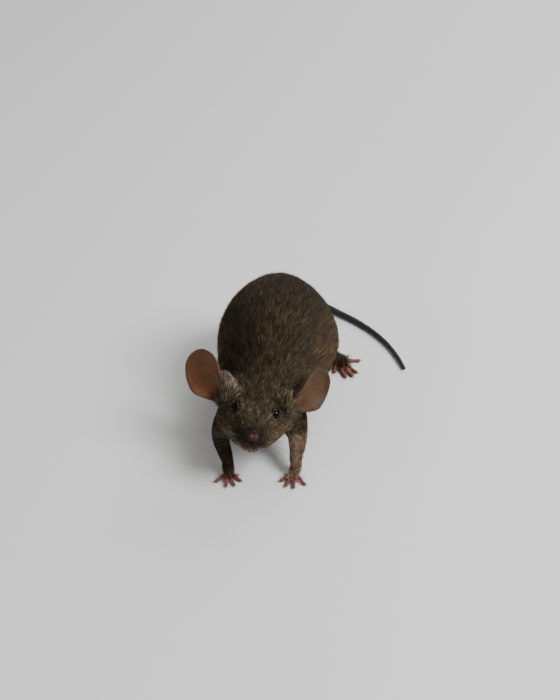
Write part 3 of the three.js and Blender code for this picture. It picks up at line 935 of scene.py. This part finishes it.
def sphereMap(points, centre, turn):
    # places on a half unwrap about a centre: along the axis y, and round it from the back to the belly
    local = placed((turn @ Matrix.Translation(centre)).inverted(), points)
    along = np.arccos(np.clip(-local[:, 1] / np.linalg.norm(local, axis=1), -1, 1)) / math.pi
    about = np.abs(np.arctan2(local[:, 0], local[:, 2])) / math.pi
    return np.stack((along, about), 1)


def tuftRings(roots, normals, way, depth, width):
    # the five points of each tuft
    count = len(roots)
    stands = rng.random(count) < coat["standShare"]
    lift = np.where(stands, rng.uniform(1.05, 1.4, count), rng.uniform(0.6, 1.0, count) ** 0.7)
    share = coat["ringShare"]
    spots, ups = onSkin(roots + way * share)
    ring = spots + ups * (depth * lift * (1 - (1 - share) ** coat["bend"]))[:, None]
    spots, up = onSkin(roots + way)
    rings = np.empty((count, 5, 3))
    rings[:, 0] = roots - normals * coat["sunk"]
    rings[:, 4] = spots + up * (depth * lift)[:, None]
    ahead = unit(rings[:, 4] - roots)
    across = unit(np.cross(ahead, ups))
    half = (width / 2 * np.where(stands, 0.7, 1.0))[:, None]
    rings[:, 1] = ring + across * half
    rings[:, 2] = ring - across * half
    rings[:, 3] = ring + np.cross(across, ahead) * half * 2 * coat["thickness"]
    rings[:, :, 2] = np.maximum(rings[:, :, 2], 0.03)
    return rings


def cellsOf(points, size):
    # the number of the cell that each point is in
    return np.unique(np.floor(points / size).astype(int), axis=0, return_inverse=True)[1].ravel()


def growTufts():
    depth, hair, width, number = zoneBlend(skinPoints)[0]
    layoutPoints = placed(home.inverted(), skinPoints)
    under = smoothStep(0.2, -0.7, skinNormals[:, 2]) * smoothStep(16, 12, layoutPoints[:, 2])
    number = number * np.clip(1 - bare * 1.15, 0, 1) * (1 - 0.45 * under)
    number[skinPoints[:, 2] < 0.9] = 0
    inside = placed(head.inverted(), skinPoints)
    fromNose = np.linalg.norm((inside - np.array((0, 0.7, -0.4))) / (1, 1, 0.85), axis=1)
    number *= smoothStep(1.35, 1.75, fromNose)
    roots, normals = scatter(number)
    (depth, hair, width, _), flow = zoneBlend(roots)
    tailStart = np.array(atHome(tail["line"][1]))
    nearTail = 1 - smoothStep(1.5, 6.0, np.linalg.norm(roots - tailStart, axis=1))
    thin = 1 - (1 - coat["byTail"]) * nearTail
    hair, depth = hair * thin, depth * thin
    flow = unit(flow * (1 - nearTail[:, None]) + tailPlace(roots)[1] * nearTail[:, None])
    hair = hair * (coat["byWrist"] + (1 - coat["byWrist"]) * smoothStep(1.3, 5.0, roots[:, 2]))
    keep = np.ones(len(roots), bool)
    for name in sides:
        local = placed(eyeFrame(name).inverted(), roots)
        out = np.hypot(local[:, 0], local[:, 1])
        nearEye = (local[:, 2] > -2.5) & (out < 4.5)
        keep &= ~(nearEye & (out < eye["opening"] + 0.3))
        away = unit(roots - np.array(eyeCentre(name)))
        toward = np.minimum((flow * away).sum(1), 0)
        close = np.where(nearEye, 1 - smoothStep(1.9, 4.2, out), 0)
        flow = unit(flow - (1.4 * close * toward)[:, None] * away)
        hair, width, depth = (
            size * (1 - (1 - coat["byEye"][name]) * close)
            for name, size in (("hair", hair), ("width", width), ("depth", depth))
        )
    roots, normals, flow, depth, hair, width = (v[keep] for v in (roots, normals, flow, depth, hair, width))
    count = len(roots)
    print("stage:", count, "tufts rooted")

    # the lie: along the flow, swayed a little, with tips drawn into clumps
    flow = flow + rng.normal(0, coat["stray"], (count, 3))
    flow = unit(flow - (flow * normals).sum(1)[:, None] * normals)
    hair = hair * rng.uniform(0.72, 1.12, count)
    tips = roots + flow * hair[:, None]
    clumps, patches = cellsOf(tips, coat["clumpSize"]), cellsOf(tips, coat["patchSize"])
    sums = np.stack([np.bincount(clumps, tips[:, k]) for k in range(3)], 1)
    middle = sums[clumps] / np.bincount(clumps)[clumps][:, None]
    tips = tips + (middle - tips) * coat["clump"]
    # each patch of clumps is lighter or darker, each clump in it again, and each hair
    shade = coat["patchShade"] * rng.normal(0, 1, patches.max() + 1)[patches]
    ofClump = np.clip(rng.normal(0, 1, clumps.max() + 1), -1.6, 1.1)[clumps]
    shade += coat["clumpShade"] * np.clip(hair / 3.2, 0.8, 1) * ofClump
    shade += coat["hairShade"] * rng.normal(0, 1, count)
    return roots, normals, tuftRings(roots, normals, tips - roots, depth, width), np.exp(shade)


def makeCoat():
    roots, normals, rings, shade = growTufts()
    count = len(roots)
    warm = rng.normal(0, 0.06, count)
    layoutPoints = placed(home.inverted(), roots)
    inside = placed(head.inverted(), roots)
    legged = np.zeros(count, bool)
    for name, side in sides.items():
        leg = legs[name]
        for start, end, reach in ((leg["shoulder"], leg["elbow"], 3.6), (leg["elbow"], leg["wrist"], 3.2),
                                  (legs["knee"], leg["heel"], 3.4)):
            start, end = np.array(onSide(start, side)), np.array(onSide(end, side))
            legged |= (distanceTo(layoutPoints, start, end) < reach) & (layoutPoints[:, 2] < 10.5)
    shade = np.where(legged, shade**0.55, shade) * coat["bright"]
    warmthAndEarLight = np.stack((1 + warm, np.ones(count), 1 - warm * 1.4), 1)
    tint = regionColour(roots, normals) * shade[:, None] * warmthAndEarLight
    sheenGrey = np.clip((shade - 1) * 0.15, 0, 0.22)[:, None]  # painted sheen: the lightest clumps are greyed, standing in for the hairs' highlights
    tint = np.clip(tint * (1 - sheenGrey) + tint.mean(1, keepdims=True) * sheenGrey, 0.004, 0.7)
    onHead = (inside[:, 1] < 16.2) & ~legged
    pieces = []
    for label, chosen, local, centre, turn in (
        ("head", onHead, inside, (0, 9, -1), head),
        ("trunk", ~onHead & ~legged, layoutPoints, (0, 41, 16), home),
    ):
        places = sphereMap(roots, centre, turn)
        for name, side in sides.items():
            members = np.flatnonzero(chosen & (local[:, 0] * side > 0))
            members = members[np.argsort(places[members, 0])]
            parts = max(1, math.ceil(len(members) / coat["pieceLimit"]))
            for k, part in enumerate(np.array_split(members, parts)):
                pieces.append((f"coat_{label}_{name}_{k + 1}", part, places[part]))
    # the legs' map has a quarter for each: round the leg, and up it
    members = np.flatnonzero(legged)
    sideways, back, up = layoutPoints[members].T
    angle = np.arctan2(np.abs(sideways) - 10, back - np.where(back > 30, 52, 7)) / (2 * math.pi) + 0.5
    quarter = np.stack((sideways > 0, back > 30), 1)
    places = (quarter + 0.94 * np.stack((angle, np.clip(up / 11, 0, 1)), 1)) / 2
    if len(members) > coat["pieceLimit"]:
        chosen = np.sort(rng.permutation(len(members))[: coat["pieceLimit"]])
        members, places = members[chosen], places[chosen]
    pieces.append(("coat_legs", members, places))

    made = []
    for name, part, places in pieces:
        low, high = places.min(0), places.max(0)
        places = 0.01 + 0.98 * (places - low) / (high - low)
        obj = tuftMesh(name, rings[part], tint[part], places)
        print("stage:", name, len(obj.data.polygons), "triangles")
        made.append(obj)
    return made


fuzz = {  # number for each mm2, length, rise and width of the fine hairs on the bare parts
    "ear": (7, 0.75, 0.22, 0.045),
    "foot": (14, 0.55, 0.16, 0.05),
    "tail": (6, 1.1, 0.3, 0.05),
}


def makeFuzz():
    masks = {part: readValue(skin, part + "Bare") > 0.5 for part in fuzz}
    masks["foot"] &= (skinNormals[:, 2] > 0.1) & (skinPoints[:, 2] > 0.8)
    rings, tints, places = [], [], []
    for part, (number, hair, rise, width) in fuzz.items():
        roots, normals = scatter(masks[part] * float(number))
        count = len(roots)
        if part == "ear":
            share, turn, front = earPlace(roots)
            right = placed(head.inverted(), roots)[:, 0] < 0
            axes = np.array([head.to_3x3() @ Vector(earAxes(name)[1]) for name in sides])
            flow = axes[right.astype(int)]
            cell = right * 2 + (front < 0)
            flat = np.stack((share, turn * 0.45 + 0.5), 1)
        elif part == "foot":
            frames = [frameOfFoot for _, frameOfFoot in footFrames()]
            toes = np.array([(f @ Vector((0, -6, 0)))[:] for f in frames])
            nearest = np.linalg.norm(roots[:, None] - toes, axis=2).argmin(1)
            flow = np.array([(f.to_3x3() @ Vector((0, -1, -0.2)))[:] for f in frames])[nearest]
            cell = nearest + 4
            local = np.array([(frames[k].inverted() @ Vector(p))[:2] for k, p in zip(nearest, roots)])
            flat = np.stack((local[:, 0] / 14 + 0.5, -local[:, 1] / 20 + 0.2), 1)
        else:
            run, flow = tailPlace(roots)
            cell = np.full(count, 8)
            about = np.arctan2(normals[:, 2], normals @ np.array((0.7, 0.7, 0)))
            flat = np.stack((run / 100, about / 6.3 + 0.5), 1)
        flow = flow + rng.normal(0, 0.2, (count, 3))
        flow = unit(flow - (flow * normals).sum(1)[:, None] * normals)
        way = flow * (hair * rng.uniform(0.6, 1.2, count))[:, None]
        rings.append(tuftRings(roots, normals, way, np.full(count, rise), np.full(count, width)))
        tints.append(np.array(colours[part + "Hair"]) * np.exp(rng.normal(0, 0.3, count))[:, None])
        corner = np.stack((cell % 3, cell // 3), 1)
        places.append((corner + 0.03 + 0.94 * np.clip(flat, 0, 1)) / 3)
    return tuftMesh("coat_fine", *(np.concatenate(group) for group in (rings, tints, places)))


coatPieces = [*makeCoat(), makeFuzz()]

# ---- materials ----
class Link:
    # a socket that takes part in sums
    def __init__(self, paint, socket):
        self.paint, self.socket = paint, socket

    def sum(self, operation, first, second):
        return self.paint.node("Math", {"operation": operation}, {0: first, 1: second})

    def __add__(self, other):
        return self.sum("ADD", self, other)

    def __sub__(self, other):
        return self.sum("SUBTRACT", self, other)

    def __rsub__(self, other):
        return self.sum("SUBTRACT", other, self)

    def __mul__(self, other):
        return self.sum("MULTIPLY", self, other)

    __radd__ = __add__
    __rmul__ = __mul__


class Paint:
    # a material whose shader sockets are set by name
    def __init__(self, name):
        self.material = bpy.data.materials.new(name)
        self.material.use_nodes = True
        self.tree = self.material.node_tree
        self.shader = self.tree.nodes["Principled BSDF"]

    def put(self, node, values):
        for key, value in values.items():
            if isinstance(value, Link):
                self.tree.links.new(value.socket, node.inputs[key])
            else:
                node.inputs[key].default_value = value

    def node(self, kind, settings=None, inputs=None, output=0):
        node = self.tree.nodes.new("ShaderNode" + kind)
        for key, value in (settings or {}).items():
            setattr(node, key, value)
        self.put(node, inputs or {})
        return Link(self, node.outputs[output])

    def blend(self, factor, first, second, how="MIX"):
        settings = {"data_type": "RGBA", "blend_type": how}
        return self.node("Mix", settings, {0: factor, 6: first, 7: second}, output=2)

    def value(self, name):
        return self.node("Attribute", {"attribute_name": name}, output=2)

    def tint(self, name):
        return self.node("Attribute", {"attribute_name": name}, output=0)

    def noise(self, scale, detail=3, rough=0.5, place=None):
        place = place or self.node("TexCoord", output=3)
        inputs = {"Vector": place, "Scale": scale, "Detail": detail, "Roughness": rough}
        return self.node("TexNoise", inputs=inputs)

    def ramp(self, value, low, high):
        settings = {"interpolation_type": "SMOOTHSTEP"}
        return self.node("MapRange", settings, {"Value": value, "From Min": low, "From Max": high})

    def bump(self, height, distance, strength=1.0):
        return self.node("Bump", inputs={"Height": height, "Distance": distance, "Strength": strength})

    def shade(self, **values):
        self.put(self.shader, {key.replace("_", " "): value for key, value in values.items()})
        return self.material


def srgb(code):
    # a colour written as in a paint chart, made linear
    parts = [int(code[k:k + 2], 16) / 255 for k in (1, 3, 5)]
    return (*(c / 12.92 if c <= 0.04045 else ((c + 0.055) / 1.055) ** 2.4 for c in parts), 1)


tones = {  # two for a blend by noise, or one for a mark on it
    "under": ("#17110c", "#251c14"),
    "ear": ("#3d2512", "#52351d"),
    "earRidge": "#74553c",
    "earRoot": "#572c16",
    "earEdge": "#2c1f17",
    "foot": ("#622c23", "#84453a"),
    "ankle": "#3d251c",
    "footCrease": "#8f675b",
    "tail": ("#151413", "#2a2826"),
    "lid": ("#120c09", "#2e221b"),
    "nose": ("#351714", "#482120"),
    "noseRim": "#2a1816",
    # painted shade in the nostril slits and the groove
    "nosePit": "#1d0f0e",
    "eye": ("#040304", "#0b0807"),
    "claw": ("#2a201c", "#5c4a40"),
    "whisker": ("#241f1a", "#625a4f"),
}
for name, tone in tones.items():
    tones[name] = srgb(tone) if isinstance(tone, str) else tuple(map(srgb, tone))
# painted light on the ears: the right ear painted as lit through, the left one as in shade
earLitAndShaded = {"right": (1.32, 1.14, 0.92, 1), "left": (0.72, 0.78, 0.71, 1)}
furBands = {"root": (0.3, 0.28, 0.27, 1), "tip": (0.55, 0.5, 0.46, 1)}  # against the middle of a hair


def furPaint():
    paint = Paint("fur")
    along, tint = paint.value("along"), paint.tint("tint")
    # dark at the root, a light band, and a darker tip
    root, tip = (paint.blend(1.0, tint, furBands[k], "MULTIPLY") for k in ("root", "tip"))
    colour = paint.blend(paint.ramp(along, 0.3, 0.62), root, tint)
    colour = paint.blend(paint.ramp(along, 0.85, 1.0), colour, tip)
    return paint.shade(Base_Color=colour, Roughness=0.65, Specular_IOR_Level=0.1)


def skinPaint():
    paint = Paint("skin")
    earMask, foot, tailMask, lid = (paint.value(part) for part in ("ear", "foot", "tail", "lid"))
    share, turn, run = paint.value("earShare"), paint.value("earTurn"), paint.value("tailRun")
    broad, fine = paint.noise(180, 3), paint.noise(1500, 4)
    under = paint.blend(fine, *tones["under"])
    # the ear: redder in the middle, darker at the rim, with fine ridges that run up it
    streak = paint.node("CombineXYZ", inputs={0: share * 6, 1: turn * 42})
    ridges = paint.noise(1.0, 3, 0.55, streak)
    edge = paint.ramp(paint.node("Math", {"operation": "ABSOLUTE"}, {0: turn}), 0.86, 1.0)
    earColour = paint.blend(broad, *tones["ear"])
    earColour = paint.blend(paint.ramp(ridges, 0.4, 0.75) * 0.8, earColour, tones["earRidge"])
    earColour = paint.blend(paint.ramp(share, 0.9, 0.25) * 0.4, earColour, tones["earRoot"])
    earColour = paint.blend(edge * 0.6, earColour, tones["earEdge"])
    place = paint.node("TexCoord", output=3)
    sideways, height = (paint.node("SeparateXYZ", inputs={0: place}, output=k) for k in (0, 2))
    # painted light: the right ear is painted lighter and warmer, as lit through, and the left one darker, as
    # in shade
    warmthAndEarLight = paint.blend(paint.ramp(sideways, -0.012, -0.004), earLitAndShaded["right"], earLitAndShaded["left"])
    earColour = paint.blend(1.0, earColour, warmthAndEarLight, "MULTIPLY")
    footColour = paint.blend(broad, *tones["foot"])
    footColour = paint.blend(paint.ramp(height, 0.001, 0.0026), footColour, tones["ankle"])
    footColour = paint.blend(paint.ramp(fine, 0.5, 0.8) * 0.4, footColour, tones["footCrease"])
    wave = run * (2 * math.pi / tail["ringPitch"]) + fine * 1.2
    rings = paint.node("Math", {"operation": "SINE"}, {0: wave})
    tailColour = paint.blend(paint.ramp(rings, -0.6, 0.8), *tones["tail"])
    lidColour = paint.blend(paint.ramp(lid, 0.55, 0.95), *tones["lid"])
    colour = paint.blend(earMask, under, earColour)
    colour = paint.blend(foot, colour, footColour)
    colour = paint.blend(tailMask, colour, tailColour)
    colour = paint.blend(paint.ramp(lid, 0.0, 0.15), colour, lidColour)
    relief = paint.noise(900, 4) * 0.4 + paint.noise(2500, 2) * 0.2
    relief = relief + ridges * earMask * 0.9 + rings * tailMask * 0.35
    return paint.shade(Base_Color=colour, Roughness=0.6, Specular_IOR_Level=0.3,
                       Normal=paint.bump(relief, 0.00012, 0.8))


def nosePaint():
    paint = Paint("nose")
    pit, grain = paint.value("pit"), paint.noise(2600, 3)
    colour = paint.blend(grain, *tones["nose"])
    colour = paint.blend(paint.value("rim"), colour, tones["noseRim"])
    # painted shade: the nostril slits and the groove between the lobes are painted dark
    colour = paint.blend(paint.ramp(pit, 0.15, 0.7), colour, tones["nosePit"])
    return paint.shade(Base_Color=colour, Roughness=0.5, Specular_IOR_Level=0.2,
                       Normal=paint.bump(grain, 0.00008, 0.6))


def eyePaint():
    paint = Paint("eye")
    colour = paint.blend(paint.noise(600), *tones["eye"])
    return paint.shade(Base_Color=colour, Roughness=0.1, Specular_IOR_Level=0.07, Coat_Weight=0.06)


def clawPaint():
    paint = Paint("claw")
    colour = paint.blend(paint.noise(1200), *tones["claw"])
    return paint.shade(Base_Color=colour, Roughness=0.35)


def whiskerPaint():
    paint = Paint("whisker")
    colour = paint.blend(paint.noise(120), *tones["whisker"])
    return paint.shade(Base_Color=colour, Roughness=0.4)


# ---- floor and light ----
studio = {
    "floor": (0.62, 0.62, 0.62, 1),
    "room": (0.9, 0.89, 0.87, 1),
    "roomStrength": 0.48,
    "aim": (0, 0, 0.015),
    "lamps": (((0.45, -0.15, 0.5), 0.3, 7.5), ((-0.5, -0.35, 0.35), 0.4, 0.8), ((0.2, 0.6, 0.45), 0.4, 3)),
}


def addStage():
    bpy.ops.mesh.primitive_plane_add(size=16, location=(0, 0, 0))
    floor = bpy.context.object
    floor.name = "floor"
    floor.data.materials.append(Paint("floor").shade(Base_Color=studio["floor"], Roughness=0.8))
    world = bpy.data.worlds.new("room")
    bpy.context.scene.world = world
    world.use_nodes = True
    background = world.node_tree.nodes["Background"].inputs
    background["Color"].default_value = studio["room"]
    background["Strength"].default_value = studio["roomStrength"]
    for place, size, power in studio["lamps"]:
        light = bpy.data.lights.new("light", "AREA")
        light.size, light.energy = size, power
        obj = bpy.data.objects.new("light", light)
        bpy.context.collection.objects.link(obj)
        obj.location = place
        obj.rotation_euler = (Vector(studio["aim"]) - Vector(place)).to_track_quat("-Z", "Y").to_euler()


addStage()

# ---- eyes ----
eyes = []
for name in sides:
    obj = ball(eyeCentre(name), (eyeSize,) * 3, segments=48)
    obj.name = obj.data.name = "eyeball_" + name
    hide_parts("eye_" + name)
    eyes.append(smooth(obj))

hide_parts(*(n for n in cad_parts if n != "nose" and not n.startswith("eye_")))
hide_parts("nose")

fur, eyeGloss = furPaint(), eyePaint()
dressed = [(skin, skinPaint()), (nose, nosePaint()), (claws, clawPaint()), (whiskers, whiskerPaint())]
dressed += [(piece, fur) for piece in coatPieces] + [(eyeball, eyeGloss) for eyeball in eyes]
for obj, material in dressed:
    obj.data.materials.clear()
    obj.data.materials.append(material)
    points = readPoints(obj)
    points[:, 2] = np.maximum(points[:, 2], 0)
    writePoints(obj, points * mm)
    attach(obj, "root")
print("stage: dressed,", len(dressed), "pieces")
